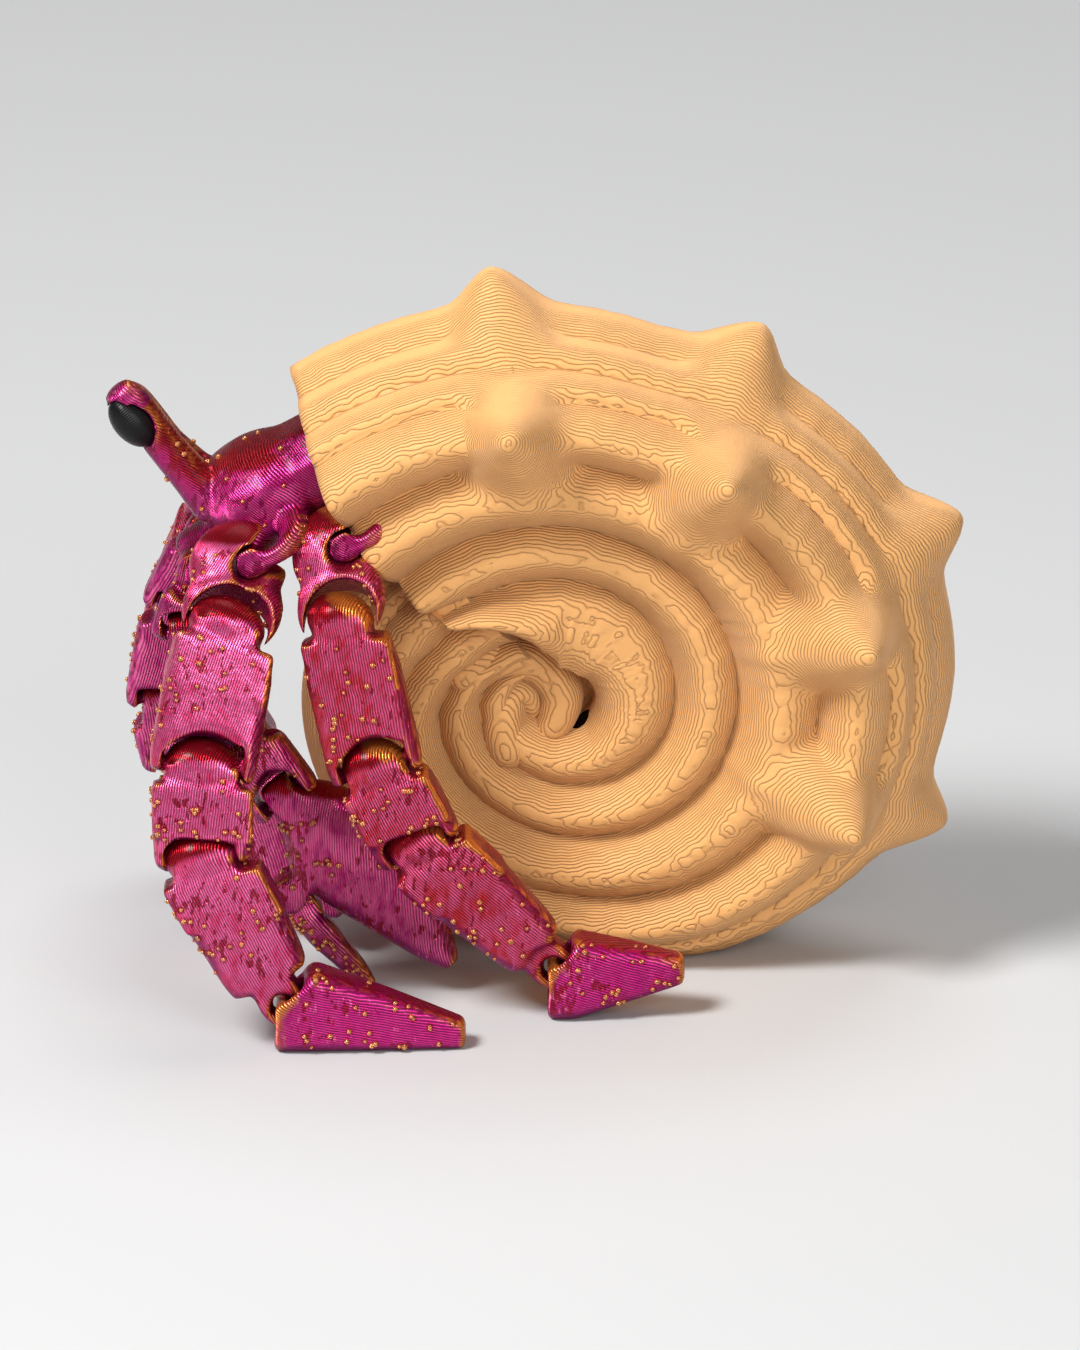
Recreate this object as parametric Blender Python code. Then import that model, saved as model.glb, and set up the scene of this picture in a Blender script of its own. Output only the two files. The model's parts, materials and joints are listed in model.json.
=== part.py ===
"""Printed articulated hermit crab: a spiny coiled shell with a jointed crab in its mouth.

Metres, +Z up. The crab faces -X, its left side is -Y, and it stands on Z = 0 on the shell's
lowest rim and its four feet. Lengths in the tables below are millimetres.
"""

import bmesh
import bpy
import math
from mathutils import Matrix, Vector

MM = 0.001
GAP = 0.35
LEFT, RIGHT = -1, 1
CENTRING = Vector((0.12, 0.0, 0.0))

# Shell: a closed section swept round the coil axis, which runs along Y before the tip.
SHELL_CENTRE = Vector((1.5, 0.0, 26.55))
SHELL_TIP = math.radians(7.0)
MOUTH_ANGLE = 128.5
MOUTH_CORNER = 9.0
MOUTH_RAMP = 30.0
TURN_RATIO = 1.83
COIL_STEP = 12.0
# (angle, growth of the inner cords, growth of the outer rim) over the last turn
GROWTH = (
    (-231.5, 0.56, 0.60),
    (-180.0, 0.65, 0.65),
    (-90.0, 0.93, 0.79),
    (-60.0, 0.955, 0.92),
    (-30.0, 0.98, 1.0),
    (0.0, 1.0, 1.03),
    (40.0, 1.035, 1.03),
    (75.0, 1.07, 1.012),
    (100.0, 1.10, 1.06),
    (128.5, 1.14, 1.10),
)
RIM_RADIUS = 33.7
# (radius, distance along the coil axis), left side negative, round the section
SECTION = (
    (4.6, -2.0), (7.6, -5.4), (10.2, -4.5), (13.2, -6.7), (15.6, -5.9), (19.2, -8.5),
    (22.3, -7.9), (26.2, -10.0), (28.8, -7.2), (31.8, -3.9), (33.7, 0.0), (31.6, 4.0),
    (28.9, 8.0), (24.5, 11.0), (18.0, 12.4), (13.0, 11.6), (8.5, 11.8), (4.6, 9.0),
)
CORNER_RINGS = 7
CORE_RADIUS = 0.5
# the angle of each spine of the shoulder row and of its fellow on the rim
SPINE_ANGLES = ((98.0, 98.5), (58.7, 62.0), (16.8, 23.0), (-20.5, -23.6))
# radius and axial place of a spine row's foot and tip, and the width of its foot
SHOULDER_SPINE = ((25.4, -6.5), (29.3, -12.6), 4.6)
RIM_SPINE = ((30.5, 0.2), (37.7, 0.0), 5.2)
SPINE_TIP = 1.0
# The hollow behind the mouth, as a section in units of the rim's growth
HOLLOW = (
    (14.4, -6.3), (21.0, -7.0), (25.6, -8.2), (28.0, -5.4), (30.2, -2.6), (31.2, 0.4),
    (29.8, 3.6), (27.4, 6.8), (23.6, 9.4), (17.0, 10.2), (14.4, 7.0), (18.6, 3.4),
    (19.6, 0.0), (18.4, -2.8),
)
HOLLOW_START, HOLLOW_END = 150.0, 92.0

# Head and trunk
HEAD_CENTRE = Vector((-23.4, -1.0, 43.9))
HEAD_SIZE = Vector((6.6, 7.2, 5.0))
HEAD_PITCH = math.radians(14)
TRUNK_START = Vector((-24.0, -1.0, 43.0))
TRUNK_END = Vector((-11.6, -2.6, 51.0))
# share of the way into the shell, half depth, half width
TRUNK_STATIONS = ((0.0, 4.6, 5.2), (0.45, 4.3, 5.2), (0.8, 3.6, 4.0), (1.0, 2.4, 2.6))
# a bar's two ends, half depth and half width
STERNUM = (Vector((-27.0, 0.0, 40.4)), Vector((-14.8, 0.0, 41.6)), 2.5, 4.1)
SNOUT = (Vector((-24.5, 0.1, 40.9)), Vector((-31.2, 0.1, 37.1)), 1.9, 2.5)
AXLE_RADIUS = 0.8
AXLE_CAP = 1.7
BOSS_RADIUS = 1.7
AXLE_ROOT = 1.5

# Eyes
STALK_FOOT = Vector((-28.0, -2.7, 42.6))
STALK_TOP = Vector((-35.9, -2.9, 52.6))
STALK_RADII = (2.3, 1.95, 1.8, 2.05, 2.05, 1.35)
STALK_STATIONS = (0.0, 0.28, 0.6, 0.86, 1.0, 1.115)
RIGHT_STALK_SHIFT = Vector((0.9, 0.0, -1.6))
EYE_ALONG = 0.855
EYE_FACING = Vector((-0.62, -0.62, -0.48)).normalized()
EYE_OFFSET = 0.95
EYE_RADII = (1.55, 1.75, 2.5)
EYE_GAP = 0.22

# Limb joints: a ring of one piece turns on a pin between the two cheeks of the other
PIN = 0.75
PIN_HOLE = 1.25
CHEEK = 1.15
CHEEK_REACH = 1.0
COXA_RING = 1.1
ACROSS = Vector((0.0, 1.0, 0.0))

# Joints of each limb on the left side, from the trunk outwards
LEG_1_JOINTS = (
    (-25.0, -9.4, 40.4), (-27.0, -13.6, 35.6), (-29.1, -18.4, 24.4), (-29.1, -20.6, 16.9),
    (-22.2, -22.0, 4.0),
)
LEG_1_RIGHT_SHIFT = (0.0, -0.6, -1.6, -1.6, -1.0)
LEG_2_JOINTS = (
    (-16.9, -8.9, 41.7), (-17.2, -13.0, 35.9), (-14.2, -15.0, 23.2), (-10.6, -15.2, 16.3),
    (1.2, -14.4, 4.5),
)
CLAW_LEFT_JOINTS = (
    (-29.6, -4.9, 37.8), (-30.6, -6.6, 32.6), (-26.8, -8.4, 24.6), (-22.2, -9.5, 18.4),
)
CLAW_RIGHT_JOINTS = (
    (-29.2, 4.9, 37.8), (-31.8, 7.0, 30.6), (-33.4, 8.6, 21.0), (-32.2, 9.6, 15.4),
)
PIECES = ("coxa", "merus", "carpus", "propodus")
# half widths, then half thicknesses, at the inner and outer end of each piece
LEG_WIDTHS = {
    "leg_1": ((3.9, 4.4), (4.6, 4.7), (4.3, 4.2), (4.3, 3.7)),
    "leg_2": ((3.4, 3.9), (4.1, 4.2), (4.0, 3.9), (4.1, 3.0)),
}
LEG_THICKS = ((2.4, 2.2), (2.5, 2.2), (2.4, 2.2), (2.5, 2.1))
LEG_DOMES = (2.1, 2.2, 2.2, 2.2, 2.0)
CLAW_WIDTHS = ((2.7, 3.2), (3.2, 3.2), (3.2, 3.2))
CLAW_THICKS = ((2.0, 1.9), (2.0, 1.9), (2.0, 2.0))
CLAW_DOMES = (1.9, 1.9, 1.9, 2.0)
HOOK_WIDTH = 1.5
ARC_STEPS = 5
# foot stations: share of its length, half width, height of its top
FOOT = ((-0.05, 2.5, 4.6), (0.03, 2.6, 5.6), (0.17, 2.6, 7.4), (0.6, 2.1, 4.9), (1.0, 1.4, 2.4))
# length, and the height of the sole at the tip; it is flat on the floor near the joint
FEET = {"leg_1": (15.8, 0.0), "leg_2": (11.4, 3.0)}
# palm stations: distance from the wrist, lean to its upper edge, half height, half thickness
PALM = (
    (2.9, 0.2, 3.2, 2.1), (5.4, 0.5, 5.3, 2.4), (9.6, 0.4, 4.8, 2.5),
    (14.5, 0.2, 3.5, 2.2), (19.0, -0.3, 2.0, 1.7), (21.6, -0.6, 0.9, 0.9),
)
PALM_HEADINGS = {LEFT: Vector((0.70, 0.0, -0.714)), RIGHT: Vector((0.70, -0.5, -0.50))}
FINGER_HINGE = (6.6, -5.9)
FINGER_TURN = math.radians(8)
# finger stations: distance from its hinge, lift, half height, half thickness
FINGER = ((2.0, -0.3, 1.2, 1.6), (5.0, -0.1, 1.4, 1.5), (9.2, 0.3, 1.0, 1.2), (11.6, 0.5, 0.5, 0.7))
FINGER_DOME = 1.6
KNUCKLE = 1.9

COLOURS = {
    "shell": (0.78, 0.52, 0.27, 0.62, 0.0),
    "body": (0.62, 0.06, 0.36, 0.28, 0.35),
    "limb": (0.66, 0.05, 0.20, 0.28, 0.35),
    "eye": (0.01, 0.01, 0.012, 0.22, 0.0),
}


def clear_scene():
    for item in list(bpy.data.objects):
        bpy.data.objects.remove(item)


def collection(name):
    group = bpy.data.collections.new(name)
    bpy.context.scene.collection.children.link(group)
    return group


def material(name, kind):
    red, green, blue, rough, metal = COLOURS[kind]
    made = bpy.data.materials.new(name)
    made.use_nodes = True
    shader = made.node_tree.nodes["Principled BSDF"]
    shader.inputs["Base Color"].default_value = (red, green, blue, 1.0)
    shader.inputs["Roughness"].default_value = rough
    shader.inputs["Metallic"].default_value = metal
    return made


def object_of(bm, name="tool"):
    """The bmesh, in millimetres, as an object in metres."""
    bmesh.ops.recalc_face_normals(bm, faces=bm.faces)
    mesh = bpy.data.meshes.new(name)
    bm.to_mesh(mesh)
    bm.free()
    mesh.transform(Matrix.Scale(MM, 4))
    made = bpy.data.objects.new(name, mesh)
    bpy.context.scene.collection.objects.link(made)
    return made


def combine(target, tool, operation, crosses_itself=False):
    """Joins the tool to the target, or cuts it away, and removes the tool."""
    step = target.modifiers.new(operation, "BOOLEAN")
    step.object, step.operation, step.solver = tool, operation, "EXACT"
    step.use_self = crosses_itself
    bpy.context.view_layer.update()
    graph = bpy.context.evaluated_depsgraph_get()
    mesh = bpy.data.meshes.new_from_object(target.evaluated_get(graph))
    target.modifiers.clear()
    target.data = mesh
    bpy.data.objects.remove(tool)


def settle(made, name, kind, origin, group, smooth=True):
    """Names a finished piece, gives it its material and puts its origin on its joint."""
    made.data.transform(Matrix.Translation(-origin * MM))
    made.location = (origin + CENTRING) * MM
    made.name = made.data.name = name
    made.data.materials.clear()
    made.data.materials.append(material(name, kind))
    if smooth:
        made.data.shade_smooth()
        made.data.set_sharp_from_angle(angle=math.radians(35))
    bpy.context.scene.collection.objects.unlink(made)
    group.objects.link(made)
    return made


def frame_at(centre, along, across):
    """A matrix with Z along the first vector and Y as near the second as can be."""
    z = along.normalized()
    x = across.cross(z).normalized()
    y = z.cross(x)
    return Matrix.Translation(centre) @ Matrix((x, y, z)).transposed().to_4x4()


def loft(rings, name="tool"):
    """A closed skin over rings of equally many points, with flat ends."""
    bm = bmesh.new()
    rows = [[bm.verts.new(point) for point in ring] for ring in rings]
    count = len(rows[0])
    for low, high in zip(rows, rows[1:]):
        for i in range(count):
            j = (i + 1) % count
            bm.faces.new((low[i], low[j], high[j], high[i]))
    bm.faces.new(list(reversed(rows[0])))
    bm.faces.new(rows[-1])
    return object_of(bm, name)


def rod(centre, axis, radius, length, sides=10, tip=None):
    """A cylinder or cone centred on a point."""
    bm = bmesh.new()
    place = Matrix.Translation(centre) @ axis.to_track_quat("Z", "Y").to_matrix().to_4x4()
    bmesh.ops.create_cone(
        bm, cap_ends=True, segments=sides, radius1=radius,
        radius2=radius if tip is None else tip, depth=length, matrix=place,
    )
    return object_of(bm)


def ball(centre, turn, radii, around=12, rings=8):
    bm = bmesh.new()
    place = Matrix.Translation(centre) @ turn @ Matrix.Diagonal((*radii, 1.0))
    bmesh.ops.create_uvsphere(bm, u_segments=around, v_segments=rings, radius=1.0, matrix=place)
    return object_of(bm)


def softened_box(frame, half_thick, half_wide, corner=0.45):
    """An eight-sided section: a rectangle with its corners cut."""
    a, b = half_thick, half_wide
    c = corner * min(a, b)
    flat = ((a, b - c), (a - c, b), (c - a, b), (-a, b - c),
            (-a, c - b), (c - a, -b), (a - c, -b), (a, c - b))
    return [frame @ Vector((x, y, 0.0)) for x, y in flat]


# Shell


def growth_at(angle):
    """Growth of the inner cords and of the rim at an angle, in degrees, on any turn."""
    turns = 0
    while angle < GROWTH[0][0]:
        angle += 360.0
        turns += 1
    for (a, in_a, out_a), (b, in_b, out_b) in zip(GROWTH, GROWTH[1:]):
        if angle <= b or b == GROWTH[-1][0]:
            share = (angle - a) / (b - a)
            return tuple(
                (low + (high - low) * share) / TURN_RATIO**turns
                for low, high in ((in_a, in_b), (out_a, out_b))
            )


def coil_point(angle, radius, axial):
    """A point of the shell in the world, from its place in the section and its angle."""
    inner, outer = growth_at(angle)
    share = min(1.0, max(0.0, (radius - 10.2) / (RIM_RADIUS - 10.2)))
    growth = inner + (outer - inner) * share
    turn = math.radians(angle)
    local = Vector((
        radius * growth * math.cos(turn), axial * outer, radius * growth * math.sin(turn)
    ))
    return SHELL_CENTRE + Matrix.Rotation(SHELL_TIP, 3, "X") @ local


def coil(first, last, section, corner=0.0):
    """The section swept from one angle to another. Near the end, its left inner part runs on."""
    steps = round((last - first) / COIL_STEP)
    rings = []
    for i in range(steps + 1):
        angle = first + (last - first) * i / steps
        ramp = max(0.0, 1.0 - (last - angle) / MOUTH_RAMP)
        ring = []
        for k, (radius, axial) in enumerate(section):
            extra = corner * ramp * max(0.0, 1.0 - k / CORNER_RINGS)
            ring.append(coil_point(angle + extra, radius, axial))
        rings.append(ring)
    return loft(rings)


def spine(angle, row):
    (foot_radius, foot_axial), (tip_radius, tip_axial), width = row
    foot = coil_point(angle, foot_radius, foot_axial)
    tip = coil_point(angle, tip_radius, tip_axial)
    return rod((foot + tip) / 2, tip - foot, width, (tip - foot).length, 8, SPINE_TIP)


def make_shell(group):
    made = coil(MOUTH_ANGLE - 360.0, MOUTH_ANGLE, SECTION, MOUTH_CORNER)
    core = [(CORE_RADIUS, SECTION[0][1]), *SECTION[1:-1], (CORE_RADIUS, SECTION[-1][1])]
    inner = coil(MOUTH_ANGLE - 650.0, MOUTH_ANGLE - 345.0, core)
    combine(made, inner, "UNION", crosses_itself=True)
    for angles in SPINE_ANGLES:
        for angle, row in zip(angles, (SHOULDER_SPINE, RIM_SPINE)):
            combine(made, spine(angle, row), "UNION")
    combine(made, coil(HOLLOW_END, HOLLOW_START, HOLLOW), "DIFFERENCE")
    floor = rod(Vector((0.0, 0.0, -20.0)), Vector((0.0, 0.0, 1.0)), 60, 40, 6)
    combine(made, floor, "DIFFERENCE")
    settle(made, "shell", "shell", SHELL_CENTRE, group)


# Head, trunk and eyes


def spool(start, axis, steps, sides=6):
    """A turned solid: distance along the axis and radius at each step."""
    rings = []
    for distance, radius in steps:
        frame = frame_at(start + axis * distance, axis, Vector((0.02, 0.0, 1.0)))
        turns = (math.tau * (i + 0.5) / sides for i in range(sides))
        rings.append([frame @ Vector((radius * math.cos(a), radius * math.sin(a), 0.0)) for a in turns])
    return loft(rings)


def make_body(group, axles):
    """The head and trunk, with an axle for the first piece of each limb."""
    made = ball(HEAD_CENTRE, Matrix.Rotation(-HEAD_PITCH, 4, "Y"), HEAD_SIZE, 12, 8)
    along = TRUNK_END - TRUNK_START
    combine(made, loft([
        softened_box(frame_at(TRUNK_START + along * share, along, ACROSS), deep, wide, 0.6)
        for share, deep, wide in TRUNK_STATIONS
    ]), "UNION")
    for start, end, deep, wide in (STERNUM, SNOUT):
        run = end - start
        combine(made, loft([
            softened_box(frame_at(start + run * share, run, ACROSS), deep * k, wide * k, 0.6)
            for share, k in ((0.0, 0.85), (0.12, 1.0), (0.88, 1.0), (1.0, 0.85))
        ]), "UNION")
    for point in axles:
        side = ACROSS * math.copysign(1.0, point.y)
        root = Vector((point.x, 0.0, point.z)) + side * AXLE_ROOT
        lock = (point - root).length + COXA_RING + GAP
        face = lock - 2 * (COXA_RING + GAP)
        combine(made, spool(root, side, (
            (0.0, BOSS_RADIUS), (face, BOSS_RADIUS), (face, AXLE_RADIUS),
            (lock, AXLE_RADIUS), (lock, AXLE_CAP), (lock + 0.9, AXLE_CAP),
        )), "UNION")
    make_eye(group, LEFT, "left", made)
    make_eye(group, RIGHT, "right", made)
    settle(made, "body", "body", HEAD_CENTRE, group)


def make_eye(group, side, name, body):
    """A stalk on the head with a socket near its top, and the dark eye set in it."""
    mirror = Matrix.Diagonal((1.0, -side, 1.0))
    shift = RIGHT_STALK_SHIFT if side == RIGHT else Vector()
    foot, top, facing = mirror @ STALK_FOOT + shift, mirror @ STALK_TOP + shift, mirror @ EYE_FACING
    along = top - foot
    rings = []
    for share, radius in zip(STALK_STATIONS, STALK_RADII):
        frame = frame_at(foot + along * share, along, ACROSS)
        rings.append([
            frame @ Vector((radius * math.cos(a), radius * math.sin(a), 0.0))
            for a in (math.tau * i / 8 for i in range(8))
        ])
    stalk = loft(rings)
    out = (facing - along.normalized() * facing.dot(along.normalized())).normalized()
    centre = foot + along * EYE_ALONG + out * EYE_OFFSET
    turn = frame_at(Vector(), along, along.cross(out))
    socket = ball(centre, turn, [radius + EYE_GAP for radius in EYE_RADII])
    combine(stalk, socket, "DIFFERENCE")
    combine(body, stalk, "UNION")
    settle(ball(centre, turn, EYE_RADII, 12, 7), f"eye_{name}", "eye", centre, group)


# Limbs


def square_to(vector, axis):
    return (vector - axis * vector.dot(axis)).normalized()


def hinge_axis(before, after):
    """Across the limb, square to the mean of two runs and to the line across the crab."""
    return (before.normalized() + after.normalized()).cross(ACROSS).normalized()


def body_clear(dome):
    """How near a joint's axis the full width of the ring's piece may come."""
    return math.hypot(CHEEK_REACH, dome) + GAP


def tongue(centre, axis, way, radius, half_width, reach, flare=1.0):
    """A bar whose one end is round about a joint and whose other end lies off along `way`."""
    way = square_to(way, axis)
    lift = axis.cross(way)
    outline = []
    for i in range(ARC_STEPS + 1):
        turn = math.pi * i / ARC_STEPS
        outline.append(lift * radius * math.cos(turn) - way * radius * math.sin(turn))
    outline.append(way * reach - lift * radius * flare)
    outline.append(way * reach + lift * radius * flare)
    return loft([
        [centre + axis * half_width * side + point for point in outline] for side in (-1, 1)
    ])


def add_ring(made, centre, axis, toward, dome, half_width):
    """A rounded tongue round a joint: the end is cleared for the cheeks, then it is bored."""
    clear = body_clear(dome)
    combine(made, rod(centre, axis, clear / math.cos(math.pi / 8), 24, 8), "DIFFERENCE")
    combine(made, tongue(centre, axis, toward, dome, half_width, clear + 0.9, 0.93), "UNION")
    combine(made, rod(centre, axis, PIN_HOLE, 2 * half_width + 4, 6), "DIFFERENCE")


def add_fork(made, centre, axis, outward, dome, half_gap, flare=2.2):
    """The slot that a neighbour's ring turns in, with the pin across it."""
    slot = (dome + GAP) / math.cos(math.pi / (2 * ARC_STEPS))
    combine(made, tongue(centre, axis, outward, slot, half_gap, 8, flare), "DIFFERENCE")
    combine(made, rod(centre, axis, PIN, 2 * half_gap + CHEEK, 6), "UNION")


def make_piece(start, end, across, widths, thicks, first, last):
    """The tapered body of a limb piece, between two distances from its first joint."""
    along = (end - start).normalized()
    skins = []
    for share, ease in ((0.0, 0.84), (0.18, 1.0), (0.85, 1.0), (1.0, 0.9)):
        frame = frame_at(start + along * (first + (last - first) * share), along, across)
        wide = widths[0] + (widths[1] - widths[0]) * share
        thick = thicks[0] + (thicks[1] - thicks[0]) * share
        skins.append(softened_box(frame, thick * ease, wide * (ease + 1) / 2))
    return loft(skins)


def make_limb(name, joints, widths, thicks, domes, hooked, group):
    """The pieces of a leg or arm up to its last joint. A hooked one ends in a ring."""
    runs = [b - a for a, b in zip(joints, joints[1:])]
    axes = [ACROSS] + [hinge_axis(a, b) for a, b in zip(runs, runs[1:])]
    axes.append(ACROSS if hooked else hinge_axis(runs[-1], PALM_HEADINGS[side_of(joints)]))
    for i, run in enumerate(runs):
        frame_axis = axes[1] if i == 0 else axes[i]
        ring_half = COXA_RING if i == 0 else widths[i - 1][1] - CHEEK - GAP
        ends_in_ring = hooked and i == len(runs) - 1
        first = body_clear(domes[i]) - (0.4 if i == 0 else 0.6)
        last = run.length + (0.4 - body_clear(domes[i + 1]) if ends_in_ring else CHEEK_REACH)
        made = make_piece(joints[i], joints[i + 1], frame_axis, widths[i], thicks[i], first, last)
        add_ring(made, joints[i], axes[i], run, domes[i], ring_half)
        if ends_in_ring:
            add_ring(made, joints[i + 1], axes[i + 1], -run, domes[i + 1], HOOK_WIDTH)
        else:
            add_fork(made, joints[i + 1], axes[i + 1], run, domes[i + 1], widths[i][1] - CHEEK)
        settle(made, f"{name}_{PIECES[i]}", "limb", joints[i], group)


def side_of(joints):
    return LEFT if joints[0].y < 0 else RIGHT


def make_foot(name, joint, run, size, group):
    """The last piece of a leg: a wedge forked round the hook, flat underneath."""
    length, rise = size
    skins = []
    for share, wide, top in FOOT:
        half = top / 2
        sole = rise * max(0.0, (share - FOOT[2][0]) / (1.0 - FOOT[2][0]))
        middle = Vector((joint.x + share * length, joint.y, sole + half))
        skins.append(softened_box(frame_at(middle, Vector((1, 0, 0)), ACROSS), half, wide, 0.35))
    made = loft(skins)
    opening = Vector((-0.25, 0.0, 0.0)) - run.normalized()
    add_fork(made, joint, ACROSS, opening, LEG_DOMES[-1], HOOK_WIDTH + GAP, 2.6)
    settle(made, name, "limb", joint, group)


def make_hand(name, wrist, before, side, group):
    """The palm with its fixed tip, and the finger hinged under it."""
    ahead = PALM_HEADINGS[side].normalized()
    up = ACROSS.cross(ahead).normalized()
    up = up if up.x > 0 else -up
    axis = hinge_axis(before, ahead)

    def place(distance, lift):
        return wrist + ahead * distance + up * lift

    palm = loft([
        softened_box(frame_at(place(distance, lean), ahead, ACROSS), high, thick, 0.55)
        for distance, lean, high, thick in PALM
    ])
    add_ring(palm, wrist, axis, ahead, CLAW_DOMES[-1], CLAW_WIDTHS[-1][1] - CHEEK - GAP)
    hinge = place(*FINGER_HINGE)
    turn = Matrix.Rotation(FINGER_TURN, 3, "Y")
    way, rise = turn @ ahead, turn @ up
    half = 1.1
    combine(palm, rod(hinge, ACROSS, KNUCKLE, 2 * PALM[1][3] - 0.2, 10), "UNION")
    add_fork(palm, hinge, ACROSS, way - up, FINGER_DOME, half + GAP)
    settle(palm, f"{name}_palm", "limb", wrist, group)
    finger = loft([
        softened_box(frame_at(hinge + way * d + rise * lift, way, ACROSS), high, thick, 0.5)
        for d, lift, high, thick in FINGER
    ])
    add_ring(finger, hinge, ACROSS, way, FINGER_DOME, half)
    settle(finger, f"{name}_finger", "limb", hinge, group)


def points(table, side=LEFT, shift=None):
    shift = shift or (0.0,) * len(table)
    return [Vector((x + dx, -side * y, z)) for (x, y, z), dx in zip(table, shift)]


clear_scene()
crab = collection("hermit_crab")
make_shell(crab)
legs = {
    "leg_1_left": points(LEG_1_JOINTS),
    "leg_1_right": points(LEG_1_JOINTS, RIGHT, LEG_1_RIGHT_SHIFT),
    "leg_2_left": points(LEG_2_JOINTS),
    "leg_2_right": points(LEG_2_JOINTS, RIGHT),
}
claws = {"claw_left": points(CLAW_LEFT_JOINTS), "claw_right": points(CLAW_RIGHT_JOINTS)}
make_body(crab, [joints[0] for joints in (*legs.values(), *claws.values())])
for name, joints in legs.items():
    make_limb(name, joints, LEG_WIDTHS[name[:5]], LEG_THICKS, LEG_DOMES, True, crab)
    make_foot(f"{name}_foot", joints[-1], joints[-1] - joints[-2], FEET[name[:5]], crab)
for name, joints in claws.items():
    make_limb(name, joints, CLAW_WIDTHS, CLAW_THICKS, CLAW_DOMES, False, crab)
    make_hand(name, joints[-1], joints[-1] - joints[-2], side_of(joints), crab)
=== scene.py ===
"""An articulated toy hermit crab: a coiled shell and a crab of hinged pieces, laid down in fine layers."""

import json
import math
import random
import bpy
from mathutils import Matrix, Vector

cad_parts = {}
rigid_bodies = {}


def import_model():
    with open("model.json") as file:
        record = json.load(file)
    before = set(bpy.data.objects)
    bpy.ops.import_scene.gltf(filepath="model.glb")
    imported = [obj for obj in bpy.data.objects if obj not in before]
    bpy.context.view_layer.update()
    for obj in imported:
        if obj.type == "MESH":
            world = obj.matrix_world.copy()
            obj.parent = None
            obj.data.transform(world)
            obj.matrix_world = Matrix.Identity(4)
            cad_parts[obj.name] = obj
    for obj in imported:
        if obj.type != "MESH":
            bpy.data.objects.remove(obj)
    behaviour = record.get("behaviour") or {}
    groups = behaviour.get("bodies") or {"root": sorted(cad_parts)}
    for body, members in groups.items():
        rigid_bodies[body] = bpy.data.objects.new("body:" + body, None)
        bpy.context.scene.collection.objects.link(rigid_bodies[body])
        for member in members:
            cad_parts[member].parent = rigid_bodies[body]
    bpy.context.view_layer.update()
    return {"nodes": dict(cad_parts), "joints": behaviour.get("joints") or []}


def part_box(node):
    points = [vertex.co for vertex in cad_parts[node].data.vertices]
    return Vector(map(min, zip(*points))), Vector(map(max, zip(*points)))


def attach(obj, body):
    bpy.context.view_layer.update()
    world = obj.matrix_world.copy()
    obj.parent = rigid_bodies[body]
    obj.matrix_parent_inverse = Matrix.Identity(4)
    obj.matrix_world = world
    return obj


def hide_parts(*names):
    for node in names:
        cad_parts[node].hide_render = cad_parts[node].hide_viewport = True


bl_info = {
    "name": "Layered Toy Hermit Crab",
    "version": (1, 0, 0),
    "blender": (4, 5, 0),
    "location": "View3D > Sidebar > Hermit Crab",
    "description": "A coiled shell and a jointed crab with silky, finely layered surfaces",
    "category": "Object",
}

import bmesh
import bpy
from mathutils import Matrix, Vector, noise
from mathutils.kdtree import KDTree

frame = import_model()

MM = 0.001

# The coil of the shell, in millimetres and degrees
COIL_CENTRE = Vector((1.62, 0.0, 26.55))
COIL_TIP = Matrix.Rotation(math.radians(7.0), 3, "X")
COIL_AXIS = COIL_TIP @ Vector((0.0, 1.0, 0.0))
RIM_RADIUS = 33.7
INNER_RADIUS = 10.2
# how many times smaller the coil is one turn further in
TURN_RATIO = 1.83
# the lip: where the last turn ends at the rim, how far its inner corner runs on past that at most and for
# each millimetre in from the outer radius, over how much of the turn, and how much less at the very corner
MOUTH_ANGLE = 128.5
MOUTH_CORNER = 13.5
MOUTH_SLANT = 0.66
MOUTH_RADIUS = 33.0
MOUTH_RAMP = 34.0
MOUTH_EASE = 0.22
# the hollow behind the lip: steps inwards, middle, least radius, width at the lip and further in, and how
# many degrees the lip is thick
MOUTH_STEPS = (0.4, 2.0, 6.0, 12.0, 20.0, 32.0)
MOUTH_MIDDLE = Vector((22.5, 1.6))
MOUTH_FLOOR = 12.5
LIP_SHARE, HOLLOW_SHARE = 0.88, 0.80
LIP_DEPTH = 1.0
# keeps the hollow's rings apart from the turn's own
HAIR = 0.001
# the core in the middle: its inner radius, its two ends before the lip, and how much coarser its rings are
CORE_RADIUS = 0.5
CORE_ENDS = (650.0, 345.0)
CORE_COARSENESS = 2.2
# angle, growth of the inner ridges, growth of the rim
GROWTH = (
    (-231.5, 0.30, 0.60), (-200.0, 0.415, 0.63), (-187.0, 0.53, 0.645), (-165.0, 0.69, 0.68),
    (-90.0, 0.93, 0.79), (-60.0, 0.955, 0.92),
    (-30.0, 0.98, 1.0), (0.0, 1.0, 1.03), (40.0, 1.035, 1.03), (75.0, 1.07, 1.012),
    (100.0, 1.10, 1.06), (128.5, 1.14, 1.10),
)
# radius, place along the coil axis, and whether the point is a crown (1) or a groove (0)
SECTION = (
    (4.6, -2.0, 0), (7.4, -5.5, 1), (10.2, -4.0, 0), (13.0, -6.8, 1), (15.6, -5.2, 0),
    (19.0, -8.6, 1), (22.3, -6.7, 0), (25.6, -9.5, 1), (28.3, -7.1, 0), (29.6, -7.0, 1),
    (30.4, -5.2, 0), (31.9, -4.3, 1), (32.2, -2.3, 0), (33.8, 0.2, 1), (32.2, 3.0, 0),
    (31.2, 4.7, 1), (28.9, 8.0, 0), (25.6, 11.0, 1), (22.2, 11.3, 0), (18.0, 12.5, 1),
    (13.0, 11.6, 1), (8.5, 11.7, 1), (4.6, 9.0, 0),
)
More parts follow.
